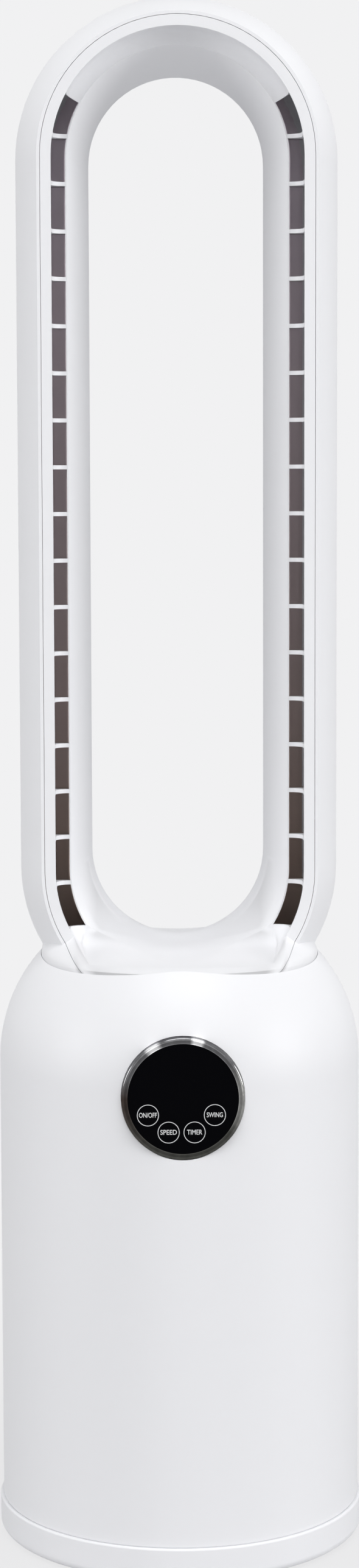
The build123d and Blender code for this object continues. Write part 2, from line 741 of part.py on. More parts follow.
with BuildPart() as display_bezel:
    with BuildSketch(Plane.XZ.offset(display_front)):
        with Locations((0, display_z)):
            Circle(bezel_radius)
    extrude(amount=-bezel_depth)
    with BuildSketch(Plane.XZ.offset(display_front)):
        with Locations((0, display_z)):
            Circle(glass_radius)
    extrude(amount=glass_back - display_front, mode=Mode.SUBTRACT)
    with BuildSketch(Plane.XZ.offset(display_front)):
        with Locations((0, display_z)):
            Circle(glass_radius - glass_seat)
    extrude(amount=-bezel_depth, mode=Mode.SUBTRACT)
    outer_edge = display_bezel.faces().sort_by(Axis.Y)[0].edges().sort_by(SortBy.RADIUS)[-1]
    fillet(outer_edge, bezel_round)
finish(display_bezel, "display_bezel")

with BuildPart() as display_glass:
    with BuildSketch(Plane.XZ.offset(glass_back)):
        with Locations((0, display_z)):
            Circle(glass_radius)
    extrude(amount=glass_thickness)
finish(display_glass, "display_glass")

with BuildPart() as control_board:
    with BuildSketch(Plane.XZ.offset(glass_back)):
        with Locations((0, display_z)):
            Circle(glass_radius - control_board_inset)
    extrude(amount=-board_thickness)
    with BuildSketch(Plane.XZ.offset(glass_back - board_thickness)):
        with Locations((0, display_z + digit_block_rise)):
            Rectangle(digit_block[0], digit_block[1])
        for side in (-1, 1):
            with Locations((side * key_block_place[0], display_z + key_block_place[1])):
                Rectangle(key_block[0], key_block[1])
    extrude(amount=-digit_block[2])
finish(control_board, "control_board")

# ================= air mover =================

with BuildPart() as fan_frame:
    with BuildSketch(Plane.XY.offset(frame_ring_z)):
        Circle(frame_ring_outer)
        Circle(frame_ring_inner, mode=Mode.SUBTRACT)
    extrude(amount=frame_ring_thickness)
    leg_middle = frame_ring_outer - frame_leg_depth / 2
    with BuildSketch(Plane.XY.offset(plate_high)):
        with PolarLocations(leg_middle, frame_leg_count, start_angle=45):
            Rectangle(frame_leg_depth, frame_leg_width)
    extrude(amount=frame_ring_z - plate_high)
    with BuildSketch(Plane.XY.offset(plate_high)):
        with PolarLocations(leg_middle - frame_foot_shift, frame_leg_count, start_angle=45):
            RectangleRounded(frame_leg_depth + 2 * frame_foot_spread,
                             frame_leg_width + 2 * frame_foot_spread, frame_foot_round)
    extrude(amount=frame_foot_thickness)
finish(fan_frame, "fan_frame")

with BuildPart() as isolators:
    with BuildSketch(Plane.XY.offset(frame_ring_z + frame_ring_thickness)):
        with PolarLocations(frame_ring_middle, frame_leg_count, start_angle=45):
            Circle(isolator_radius)
    extrude(amount=isolator_height)
    chamfer(isolators.faces().sort_by(Axis.Z)[-frame_leg_count:].edges(), isolator_edge)
finish(isolators, "isolators")

with BuildPart() as inlet_bell:
    with BuildSketch(Plane.XZ):
        with BuildLine():
            RadiusArc((inlet_mouth_radius, inlet_low), (throat_radius, throat_low), bell_radius)
            Polyline((throat_radius, throat_low), (throat_radius, throat_high),
                     (inlet_exit_radius, flange_z), (inlet_flange_radius, flange_z),
                     (inlet_flange_radius, flange_z - duct_wall),
                     (inlet_exit_radius + duct_wall, flange_z - duct_wall),
                     (throat_radius + duct_wall, throat_high), (throat_radius + duct_wall, throat_low))
            RadiusArc((throat_radius + duct_wall, throat_low), (inlet_mouth_radius, inlet_low + duct_wall),
                      -(bell_radius - duct_wall))
            Line((inlet_mouth_radius, inlet_low + duct_wall), (inlet_mouth_radius, inlet_low))
        make_face()
    revolve(axis=Axis.Z)
finish(inlet_bell, "inlet_bell")

# one guide vane, trimmed to the sloping duct
with BuildPart() as guide_vane:
    vane_outline = blade_outline(pod_radius - vane_root, diffuser_radius, stator_bend_radius,
                                 stator_thickness, pod_floor_top)
    extrude(vane_outline, amount=stator_top - pod_floor_top)
    with BuildSketch(Plane.XZ):
        with BuildLine():
            duct_slope = (diffuser_radius - inlet_exit_radius) / (diffuser_swell_z - flange_z)
            vane_tip = inlet_exit_radius + vane_root
            Polyline((pod_radius - vane_root / 2, pod_floor_top),
                     (vane_tip + duct_slope * (pod_floor_top - flange_z), pod_floor_top),
                     (vane_tip + duct_slope * (stator_top - flange_z), stator_top),
                     (pod_radius - vane_root / 2, stator_top), close=True)
        make_face()
    revolve(axis=Axis.Z, mode=Mode.INTERSECT)

with BuildPart() as diffuser:
    # outer duct, with the flange that rests on the isolators
    with BuildSketch(Plane.XZ):
        with BuildLine():
            Polyline((inlet_exit_radius, flange_z), (frame_ring_outer, flange_z),
                     (frame_ring_outer, pod_floor_top), (inlet_exit_radius + duct_wall, pod_floor_top),
                     (diffuser_radius + duct_wall, diffuser_swell_z),
                     (diffuser_radius + duct_wall, diffuser_top),
                     (diffuser_radius, diffuser_top), (diffuser_radius, diffuser_swell_z), close=True)
        make_face()
    revolve(axis=Axis.Z)
    # pod that holds the motor
    with BuildSketch(Plane.XZ):
        with BuildLine():
            Polyline((pod_hole_radius, flange_z), (pod_radius, flange_z), (pod_radius, pod_top),
                     (pod_radius - pod_wall, pod_top), (pod_radius - pod_wall, pod_floor_top),
                     (pod_hole_radius, pod_floor_top), close=True)
        make_face()
    revolve(axis=Axis.Z)
    with PolarLocations(0, stator_count):
        add(guide_vane.part)
finish(diffuser, "diffuser")

with BuildPart() as tail_cone:
    with BuildSketch(Plane.XZ):
        with BuildLine():
            middle_x = pod_radius * tail_middle[0]
            middle_z = pod_top + tail_length * tail_middle[1]
            inner_top = pod_top + tail_length - pod_wall
            ThreePointArc((pod_radius, pod_top), (middle_x, middle_z),
                          (tail_end_radius, pod_top + tail_length))
            Polyline((tail_end_radius, pod_top + tail_length), (0, pod_top + tail_length), (0, inner_top),
                     (tail_end_radius - pod_wall, inner_top))
            ThreePointArc((tail_end_radius - pod_wall, inner_top), (middle_x - pod_wall, middle_z - pod_wall),
                          (pod_radius - pod_wall, pod_top))
            Line((pod_radius - pod_wall, pod_top), (pod_radius, pod_top))
        make_face()
    revolve(axis=Axis.Z)
finish(tail_cone, "tail_cone")

with BuildPart() as fan_motor:
    with BuildSketch(Plane.XY.offset(pod_floor_top)):
        Circle(motor_radius)
    extrude(amount=motor_height)
    chamfer(fan_motor.edges().filter_by(GeomType.CIRCLE), motor_edge)
    with BuildSketch(Plane.XY.offset(pod_floor_top)):
        Circle(motor_shaft_radius + running_gap)
    extrude(amount=motor_height - motor_cover, mode=Mode.SUBTRACT)
finish(fan_motor, "fan_motor")

with BuildPart() as duct_seal:
    with BuildSketch(Plane.XZ):
        ring_profile(diffuser_radius - seal_lip, shelf_hole + seal_lip, diffuser_top, shelf_z)
    revolve(axis=Axis.Z)
finish(duct_seal, "duct_seal")

# ================= impeller: spins =================

blade_root_radius = motor_shaft_radius + blade_thickness

# one fan blade, trimmed to its outline seen from the side
with BuildPart() as fan_blade:
    fan_outline = blade_outline(blade_root_radius, throat_radius, blade_bend_radius, blade_thickness,
                                impeller_low)
    extrude(fan_outline, amount=impeller_high - impeller_low)
    with BuildSketch(Plane.XZ):
        with BuildLine():
            tip_radius = throat_radius - impeller_gap
            Polyline((blade_root_radius, impeller_low + blade_entry), (hub_middle[0], impeller_low),
                     (tip_radius, throat_low), (tip_radius, impeller_high),
                     (blade_root_radius, impeller_high), close=True)
        make_face()
    revolve(axis=Axis.Z, mode=Mode.INTERSECT)

with BuildPart() as impeller:
    with BuildSketch(Plane.XZ):
        with BuildLine():
            Line((motor_shaft_radius, hub_nose_z), (hub_nose_radius, hub_nose_z))
            ThreePointArc((hub_nose_radius, hub_nose_z), (hub_middle[0], impeller_low + hub_middle[1]),
                          (hub_rim_radius, impeller_high - hub_rim_height))
            Polyline((hub_rim_radius, impeller_high - hub_rim_height), (hub_rim_radius, impeller_high),
                     (motor_shaft_radius, impeller_high), (motor_shaft_radius, hub_nose_z))
        make_face()
    revolve(axis=Axis.Z)
    with PolarLocations(0, blade_count):
        add(fan_blade.part)
finish(impeller, "impeller")

with BuildPart() as motor_shaft:
    with BuildSketch(Plane.XY.offset(shaft_low)):
        Circle(motor_shaft_radius)
    extrude(amount=shaft_high - shaft_low)
    chamfer(motor_shaft.edges().filter_by(GeomType.CIRCLE), shaft_edge)
finish(motor_shaft, "motor_shaft")

with BuildPart() as impeller_nut:
    with BuildSketch(Plane.XY.offset(hub_nose_z)):
        RegularPolygon(nut_radius, 6)
        Circle(motor_shaft_radius, mode=Mode.SUBTRACT)
    extrude(amount=-nut_height)
finish(impeller_nut, "impeller_nut")

# ================= loop =================


def neck_body(inset):
    """The collar in the dome and the flare above it, drawn in by inset all round."""
    with BuildPart() as neck:
        with BuildSketch(Plane.XY.offset(collar_top - inset)) as collar:
            RectangleRounded(2 * (mouth_half - inset), 2 * (mouth_front - inset), mouth_corner - inset)
        for rise, side, front_share, rear_share, roundness in neck_flare:
            front = -loop_depth_front - front_share * (mouth_front - loop_depth_front)
            rear = loop_depth_rear + rear_share * (mouth_front - loop_depth_rear)
            half_depth = (rear - front) / 2
            with BuildSketch(Plane.XY.offset(collar_top + rise * (neck_top - collar_top) - inset)):
                with Locations((0, (front + rear) / 2)):
                    RectangleRounded(2 * (mouth_half - side - inset), 2 * (half_depth - inset),
                                     roundness * half_depth - inset)
        loft()
        extrude(collar.sketch, amount=neck_seat - inset, dir=(0, 0, -1))
    return neck.part


def ring_body(inset):
    """The loop's filled ring, drawn in by inset all round."""
    front = -loop_depth_front + inset
    rear = loop_depth_rear - inset
    flank = loop_half - inset
    core = opening_half - core_inset
    with BuildSketch(Plane.XY.offset(loop_low_centre)) as section:
        with BuildLine():
            ThreePointArc((front_edge_half - inset, front), (flank - flank_bow[0], flank_bow[1]),
                          (flank, widest_y))
            ThreePointArc((flank, widest_y), (flank - rear_bow[0], rear_bow[1] - inset),
                          (loop_half - rear_flat_inset, rear))
            Line((loop_half - rear_flat_inset, rear), (opening_half + rear_flat_start, rear))
            ThreePointArc((opening_half + rear_flat_start, rear),
                          (opening_half + rear_lip[0], rear - rear_lip[1]),
                          (core, rear - core_rear_drop))
            Polyline((core, rear - core_rear_drop), (core, front), (front_edge_half - inset, front))
        make_face()
    leg = loop_top_centre - loop_low_centre
    with BuildPart() as ring:
        extrude(section.sketch, amount=leg, dir=(0, 0, 1))
        revolve(section.sketch, axis=Axis((0, 0, loop_low_centre), (0, 1, 0)), revolution_arc=90)
        upper = section.sketch.moved(Location((0, 0, leg)))
        revolve(upper, axis=Axis((0, 0, loop_top_centre), (0, -1, 0)), revolution_arc=90)
        mirror(about=Plane.YZ)
    return ring.part


def air_opening(grow):
    """The space inside the loop: straight in front, then a taper, then a flare to the rear."""
    throat_centre = loop_low_centre + throat_rise
    front_outline = loop_outline(vent_half + grow, vent_y)
    narrow_outline = loop_outline(opening_half + grow, throat_y, throat_centre)
    rear_outline = loop_outline(opening_half + rear_flare + grow, throat_y + loop_half, throat_centre)
    with BuildPart() as opening:
        loft([front_outline, narrow_outline], ruled=True)
        loft([narrow_outline, rear_outline], ruled=True)
        extrude(front_outline, amount=far, dir=(0, -1, 0))
        # its floor is flatter than the loop's round end
        with BuildSketch(Plane.XZ):
            with BuildLine():
                side_rise = deck_round - sqrt(deck_round**2 - loop_half**2)
                low = deck_z - grow
                ThreePointArc((-loop_half, low + side_rise), (0, low), (loop_half, low + side_rise))
                Polyline((loop_half, low + side_rise), (loop_half, total_height),
                         (-loop_half, total_height), (-loop_half, low + side_rise))
            make_face()
        extrude(amount=far, both=True, mode=Mode.INTERSECT)
    return opening.part


def slot_recess(grow):
    """The recessed band that holds the slots; its floor runs out over the neck."""
    floor_y = recess_floor_y + grow
    low_z = vent_low_z - grow
    points = [(grow - loop_depth_front - out, collar_top + up - grow)
              for out, up in (runout_start, runout_middle, runout_end)]
    with BuildPart() as recess:
        extrude(loop_outline(recess_half + grow, floor_y), amount=far, dir=(0, -1, 0))
        fillet(recess.faces().sort_by(Axis.Y)[-1].edges(), recess_round + grow)
        with BuildSketch(Plane.YZ.offset(-loop_half)):
            with BuildLine():
                Polyline((-far, total_height), (floor_y, total_height), (floor_y, low_z))
                Spline((floor_y, low_z), *points, tangents=[(0, -1), (-1, 0)])
                Polyline(points[-1], (-far, points[-1][1]), (-far, total_height))
            make_face()
        extrude(amount=2 * loop_half, mode=Mode.INTERSECT)
    return recess.part


def loop_body(inset):
    """Ring, neck and their hollows as one body, drawn in by inset all round."""
    with BuildPart() as body:
        add(ring_body(inset))
        add(neck_room.part, mode=Mode.INTERSECT)
        add(neck_body(inset))
        add(air_opening(inset), mode=Mode.SUBTRACT)
        add(slot_recess(inset), mode=Mode.SUBTRACT)
    return body.part


# everything of the loop stands above the shelf in the dome
with BuildPart() as neck_room:
    with BuildSketch(Plane.XY.offset(neck_low)):
        Rectangle(2 * far, 2 * far)
    extrude(amount=total_height)

with BuildPart() as loop_shell:
    add(loop_body(0))
    add(loop_body(wall), mode=Mode.SUBTRACT)

# heights of the separators between the slots
rib_heights = [vent_top_rib - rib * vent_pitch for rib in range(vent_rib_count)]

# the band in which the slots are cut: both sides, between its lower end and the sloping upper end
with BuildPart() as slot_band:
    lip_back = wall - loop_depth_front
    extrude(loop_outline(recess_half + vent_undercut, lip_back), amount=recess_depth + wall, dir=(0, 1, 0))
    extrude(loop_outline(vent_half + vent_lip, lip_back), amount=recess_depth + wall, dir=(0, 1, 0),
            mode=Mode.SUBTRACT)
    with BuildSketch(Plane.XZ):
        with BuildLine():
            end_z = loop_top_centre + far * tan(radians(vent_end_angle))
            Polyline((-far, vent_low_z), (far, vent_low_z), (far, end_z), (0, loop_top_centre),
                     (-far, end_z), close=True)
        make_face()
    extrude(amount=loop_half, both=True, mode=Mode.INTERSECT)
    with BuildSketch(Plane.XZ):
        with Locations(*[(0, height) for height in rib_heights]):
            Rectangle(2 * far, vent_rib)
    extrude(amount=loop_half, both=True, mode=Mode.SUBTRACT)

# separators between the slots, deep enough to steer the air
with BuildPart() as separators:
    extrude(loop_outline(recess_half + vent_rib_sink, recess_floor_y), amount=vent_rib_depth, dir=(0, 1, 0))
    extrude(loop_outline(vent_half + vent_lip / 2, recess_floor_y), amount=vent_rib_depth, dir=(0, 1, 0),
            mode=Mode.SUBTRACT)
    with BuildSketch(Plane.XZ):
        with Locations(*[(0, height) for height in rib_heights]):
            Rectangle(2 * far, vent_rib)
    extrude(amount=loop_half, both=True, mode=Mode.INTERSECT)

with BuildPart() as loop_front_cover:
    extrude(loop_outline(cover_half - fit_gap / 2, throat_y), amount=loop_half + throat_y, dir=(0, -1, 0))
    add(loop_shell.part, mode=Mode.INTERSECT)
    add(slot_band.part, mode=Mode.SUBTRACT)
    add(separators.part)
finish(loop_front_cover, "loop_front_cover")

with BuildPart() as loop_rear_shell:
    add(loop_shell.part)
    extrude(loop_outline(cover_half + fit_gap / 2, throat_y + fit_gap), amount=loop_half + throat_y,
            dir=(0, -1, 0), mode=Mode.SUBTRACT)
finish(loop_rear_shell, "loop_rear_shell")

with BuildPart() as neck_ring:
    ring_gap = wall + fit_gap / 2
    with BuildSketch(Plane.XY.offset(neck_low)):
        RectangleRounded(2 * (mouth_half - ring_gap), 2 * (mouth_front - ring_gap), mouth_corner - ring_gap)
        Circle(shelf_hole, mode=Mode.SUBTRACT)
        with PolarLocations(neck_screw_circle, neck_screw_count, start_angle=45):
            Circle(neck_screw_radius, mode=Mode.SUBTRACT)
    extrude(amount=neck_ring_thickness)
finish(neck_ring, "neck_ring")

with BuildPart() as neck_screws:
    with BuildSketch(Plane.XY.offset(shelf_z)):
        with PolarLocations(neck_screw_circle, neck_screw_count, start_angle=45):
            Circle(neck_screw_radius)
    extrude(amount=shelf_thickness + neck_ring_thickness)
    with BuildSketch(Plane.XY.offset(shelf_z)):
        with PolarLocations(neck_screw_circle, neck_screw_count, start_angle=45):
            Circle(screw_head_ratio * neck_screw_radius)
    extrude(amount=-screw_head_height)
finish(neck_screws, "neck_screws")

with BuildPart() as housing_screws:
    with BuildSketch(Plane.XY.offset(plate_low)):
        with PolarLocations(housing_screw_circle, housing_screw_count):
            Circle(housing_screw_radius)
    extrude(amount=housing_screw_length)
    with BuildSketch(Plane.XY.offset(plate_low)):
        with PolarLocations(housing_screw_circle, housing_screw_count):
            Circle(screw_head_ratio * housing_screw_radius)
    extrude(amount=-screw_head_height)
finish(housing_screws, "housing_screws")
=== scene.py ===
import bpy
import bmesh
import json
from math import cos, sin, pi
from mathutils import Matrix, Vector


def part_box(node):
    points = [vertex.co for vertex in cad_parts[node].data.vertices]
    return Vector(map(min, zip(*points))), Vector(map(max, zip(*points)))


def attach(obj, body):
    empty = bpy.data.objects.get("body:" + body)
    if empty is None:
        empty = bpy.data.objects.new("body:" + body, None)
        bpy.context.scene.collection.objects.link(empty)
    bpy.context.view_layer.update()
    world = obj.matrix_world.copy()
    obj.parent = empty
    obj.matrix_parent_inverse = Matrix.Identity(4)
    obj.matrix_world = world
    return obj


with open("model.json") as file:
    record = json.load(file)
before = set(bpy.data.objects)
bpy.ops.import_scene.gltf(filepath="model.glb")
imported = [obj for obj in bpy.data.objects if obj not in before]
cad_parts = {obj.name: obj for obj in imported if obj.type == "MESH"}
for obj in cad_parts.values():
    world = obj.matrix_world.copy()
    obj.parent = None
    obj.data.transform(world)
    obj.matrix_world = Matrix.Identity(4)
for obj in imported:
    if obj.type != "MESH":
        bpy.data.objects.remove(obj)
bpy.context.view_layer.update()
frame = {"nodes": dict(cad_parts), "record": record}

nodes = frame["nodes"]

# ---------------------------------------------------------------- sizes, in metres
MM = 0.001
display_low, display_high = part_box("display_bezel")
DISPLAY_X = (display_low[0] + display_high[0]) / 2
DISPLAY_Z = (display_low[2] + display_high[2]) / 2
GLASS_FACE_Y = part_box("display_glass")[0][1]

# the printed keys: radius and line width of their circles, how far the print stands out, and their words
KEY_RADIUS = 6.6 * MM
KEY_LINE = 0.42 * MM
KEY_LIFT = 0.05 * MM
KEY_STEPS = 96
KEY_TEXT_SIZE = 4.15 * MM
KEY_TEXT_BOLD = 0.05 * MM
# each touch key: its centre to the right of and above the display's middle, its word and the word's width
TOUCH_KEYS = [
    ("power", -21.2 * MM, -9.9 * MM, "ON/OFF", 10.8 * MM),
    ("speed", -8.8 * MM, -20.4 * MM, "SPEED", 9.9 * MM),
    ("timer", 6.8 * MM, -20.4 * MM, "TIMER", 9.1 * MM),
    ("swing", 19.0 * MM, -9.9 * MM, "SWING", 9.7 * MM),
]

# the pale strip that is seen in the swivel gap above the foot
STRIP_INNER = 112.3 * MM
STRIP_OUTER = 113.4 * MM
STRIP_LOW = 22.2 * MM
STRIP_HIGH = 22.85 * MM
STRIP_STEPS = 160

# the air loop: the ends of its upright axis line, from which its radius is measured
LOOP_AXIS_LOW = 426.5 * MM
LOOP_AXIS_HIGH = 865.2 * MM

# the hollow between the loop's skins, from its front to its rear; the inner skin tapers with depth
HOLLOW_FRONT = -14.5 * MM
HOLLOW_REAR = 42.5 * MM
HOLLOW_INNER = 65.2 * MM
HOLLOW_INNER_LEAST = 62.5 * MM
HOLLOW_TAPER = 0.268
# just inside the outer skin, on each of its three faces: radius at no depth, and its growth with depth
HOLLOW_OUTER = [(98.1 * MM, 0.23), (99.0 * MM, -0.24), (119.0 * MM, -0.97)]
# the most radius that gets painted shade behind the slots, which grows going down from a height
HOLLOW_SHALLOW = 88.0 * MM
HOLLOW_WIDENS_BELOW = 452.0 * MM
HOLLOW_WIDENS = 0.5

# the hollow of the neck, below the loop's own section; going up, its sides and its slanting rear corner
# grow from their low value to their full one
NECK_HOLLOW_LOW = 380.0 * MM
NECK_HOLLOW_TOP = 432.0 * MM
NECK_HOLLOW_REAR = 40.8 * MM
NECK_HOLLOW_SIDE_LOW = 69.2 * MM
NECK_HOLLOW_SIDE_GROWS = 1.2
NECK_HOLLOW_SIDE = 80.5 * MM
NECK_HOLLOW_SLANT = (0.6, 0.8)
NECK_HOLLOW_CORNER_LOW = 72.9 * MM
NECK_HOLLOW_CORNER_GROWS = 0.25
NECK_HOLLOW_CORNER = 81.1 * MM

# where the neck's creases are rounded, and by how much: the neck itself, and the throat of the opening
NECK_TOP = 389.5 * MM
NECK_SIDE = 68.0 * MM
NECK_FADE = 4.0 * MM
NECK_SOFTNESS = 7.0 * MM
NECK_SAMPLES = 8
THROAT_INNER = 67.5 * MM
THROAT_TOP = 430.0 * MM
THROAT_REAR = 26.0 * MM
# the neck's deck, which takes the light as if it mostly faced one way
DECK_SIDE = 66.0 * MM
DECK_FADE = 14.0 * MM
DECK_FACING = (0.0, -0.32, 0.947)
DECK_SHARE = 0.8

# painted shade in the hollow, at the top and at the foot of the loop
HOLLOW_SHADE_HIGH = (0.96, 0.84, 0.92)
HOLLOW_SHADE_LOW = (0.52, 0.39, 0.33)

# mould grain and slow drifts of tone in plastics, rubber and plated metal
GRAIN_DEPTH = 0.2 * MM
GRAIN_DETAIL = 2.0
DRIFT_DETAIL = 3.0

# the chrome ring: its inner and outer radius
CHROME_INNER = 32.4 * MM
CHROME_OUTER = 36.8 * MM
# painted reflection bands across the ring: share of the way across, with how bright the metal is painted
# there
CHROME_PAINTED_BANDS = [
    (0.0, 0.3), (0.20, 0.4), (0.28, 1.4), (0.36, 0.7), (0.66, 0.6), (0.80, 1.1), (0.92, 0.9), (1.0, 1.3),
]
# tones of the painted reflections and painted highlights on the dark chrome
CHROME_BROWN = (0.05, 0.038, 0.034)
CHROME_DARK = (0.075, 0.075, 0.068)
CHROME_GREY = (0.15, 0.15, 0.155)
CHROME_PALE = (0.27, 0.27, 0.26)
CHROME_PAINTED_HIGHLIGHT = (0.92, 0.92, 0.93)
# painted reflections round the ring: share of a turn, from its left side by the bottom, the right and the
# top, with the painted tone there; the brightest stops are painted highlights
CHROME_PAINTED_REFLECTIONS = [
    (0.00, CHROME_BROWN), (0.15, CHROME_DARK), (0.40, CHROME_DARK), (0.46, CHROME_PALE),
    (0.54, CHROME_PALE), (0.60, CHROME_GREY), (0.69, CHROME_GREY), (0.70, CHROME_PAINTED_HIGHLIGHT),
    (0.72, CHROME_PAINTED_HIGHLIGHT), (0.73, CHROME_GREY), (0.81, CHROME_GREY), (0.825, CHROME_PAINTED_HIGHLIGHT),
    (0.845, CHROME_PAINTED_HIGHLIGHT), (0.86, CHROME_GREY), (0.94, CHROME_GREY), (1.00, CHROME_BROWN),
]
# small flecks in the metal: their scale and detail, and the span of brightness that they bring
CHROME_FLECK_SCALE = 260.0
CHROME_FLECK_DETAIL = 2.0
CHROME_FLECKS = (0.55, 1.35)
CHROME_ROUGHNESS = 0.12
CHROME_EDGE_TINT = (0.35, 0.35, 0.36)

# camera, fitted to the photograph
CAMERA_PLACE = Vector((-0.03544, -1.86583, 0.66677))
CAMERA_PAN = 0.0193
CAMERA_DIP = 0.1007
CAMERA_ROLL = -0.0031
PHOTO_HEIGHT = 2576
FOCAL_PIXELS = 4881.94
SENSOR = 36.0

# light: the plain tone behind the fan, the tone of the floor, and the soft boxes
BACKDROP_TONE = (0.880, 0.880, 0.888)
FLOOR_TONE = (0.50, 0.50, 0.51)
FLOOR_ROUGHNESS = 0.9
FLOOR_SPAN = 40
# distances over which the floor fades into the backdrop, and the shares of plain tone at both
FLOOR_FADE = (0.12, 0.70)
FLOOR_PLAIN = (0.85, 1.0)
FILL_STRENGTH = 0.24
SOFT_BOXES = [
    # name, place, target, width, height, watts
    ("top box", (0.3, -3.0, 6.5), (0, 0, 0.5), 4.8, 4.0, 246),
    ("upper front box", (0.4, -5.0, 2.4), (0, 0, 0.3), 2.5, 2.0, 15),
    ("lower front box", (0.4, -2.2, 0.05), (0, 0, 0.0), 1.8, 0.8, 5),
    ("right box", (4.2, -1.6, 1.2), (0, 0, 0.1), 1.6, 1.6, 72),
    ("left box", (-4.2, -1.6, 1.2), (0, 0, 0.1), 1.6, 1.6, 59),
]


# ---------------------------------------------------------------- shader nodes

def add_node(tree, kind, given=None, **settings):
    """A new shader node with its settings; given holds values or outputs for its inputs."""
    node = tree.nodes.new("ShaderNode" + kind)
    for setting, value in settings.items():
        setattr(node, setting, value)
    for socket, value in (given or {}).items():
        if isinstance(value, bpy.types.NodeSocket):
            tree.links.new(value, node.inputs[socket])
        else:
            node.inputs[socket].default_value = value
    return node


def object_place(tree):
    """The place on the piece, in the frame that all pieces share at rest."""
    return add_node(tree, "TexCoord").outputs["Object"]


def noise(tree, place, scale, detail):
    """Soft noise at a place."""
    return add_node(tree, "TexNoise", {"Vector": place, "Scale": scale, "Detail": detail}).outputs["Fac"]


def number(tree, operation, *values):
    """The result of a maths node."""
    return add_node(tree, "Math", dict(enumerate(values)), operation=operation).outputs[0]


def least(tree, *values):
    """The smallest of several numbers."""
    smallest = values[0]
    for value in values[1:]:
        smallest = number(tree, "MINIMUM", smallest, value)
    return smallest


def product(tree, *values):
    """Several numbers multiplied, or where several masks meet."""
    result = values[0]
    for value in values[1:]:
        result = number(tree, "MULTIPLY", result, value)
    return result


def mask(tree, value):
    """A number held between 0 and 1."""
    return least(tree, number(tree, "MAXIMUM", value, 0.0), 1.0)


def vector(tree, operation, *values):
    """The direction that a vector maths node gives."""
    return add_node(tree, "VectorMath", dict(enumerate(values)), operation=operation).outputs["Vector"]


def length(tree, value):
    """The length of a vector."""
    return add_node(tree, "VectorMath", {0: value}, operation="LENGTH").outputs["Value"]


def mixed(tree, kind, factor, first, second, blend="MIX"):
    """Two colours (RGBA) or two directions (VECTOR) mixed."""
    given = {"Factor": factor, "A": first, "B": second}
    return add_node(tree, "Mix", given, data_type=kind, blend_type=blend).outputs["Result"]


def spread(tree, value, span, onto=(0.0, 1.0), curve="LINEAR"):
    """A number carried from one span onto another."""
    given = {"Value": value, "From Min": span[0], "From Max": span[1], "To Min": onto[0], "To Max": onto[1]}
    return add_node(tree, "MapRange", given, interpolation_type=curve).outputs["Result"]


def colour_ramp(tree, factor, stops):
    """The colour of a ramp with the given stops, each a position and a colour."""
    ramp = add_node(tree, "ValToRGB", {"Fac": factor})
    elements = ramp.color_ramp.elements
    for element, (position, colour) in zip(elements, (stops[0], stops[-1])):
        element.position = position
        element.color = (*colour, 1)
    for position, colour in stops[1:-1]:
        elements.new(position).color = (*colour, 1)
    return ramp.outputs["Color"]


def shader_group(name, inputs, outputs):
    """A new node group; returns it with what it is given and what it puts out."""
    group = bpy.data.node_groups.new(name, "ShaderNodeTree")
    for socket, kind, value in inputs:
        made = group.interface.new_socket(name=socket, in_out="INPUT", socket_type=kind)
        made.default_value = value
    for socket, kind in outputs:
        group.interface.new_socket(name=socket, in_out="OUTPUT", socket_type=kind)
    return group, group.nodes.new("NodeGroupInput").outputs, group.nodes.new("NodeGroupOutput").inputs


def make_moulded_surface():
    """Fine mould grain with slow drifts of tone and gloss, for plastics, rubber and plated metal."""
    group, given, result = shader_group(
        "moulded surface",
        [("Grain Scale", "NodeSocketFloat", 900.0), ("Drift Scale", "NodeSocketFloat", 6.0),
         ("Light Tone", "NodeSocketColor", (1, 1, 1, 1)),
         ("Dark Tone", "NodeSocketColor", (0.9, 0.9, 0.9, 1)),
         ("Smoothest", "NodeSocketFloat", 0.2), ("Roughest", "NodeSocketFloat", 0.35)],
        [("Color", "NodeSocketColor"), ("Roughness", "NodeSocketFloat"), ("Height", "NodeSocketFloat")])
    place = object_place(group)
    grain = noise(group, place, given["Grain Scale"], GRAIN_DETAIL)
    drift = noise(group, place, given["Drift Scale"], DRIFT_DETAIL)
    tone = mixed(group, "RGBA", drift, given["Dark Tone"], given["Light Tone"])
    gloss = spread(group, drift, (0.0, 1.0), (given["Smoothest"], given["Roughest"]), "SMOOTHERSTEP")
    for name, value in (("Color", tone), ("Roughness", gloss), ("Height", grain)):
        group.links.new(value, result[name])
    return group


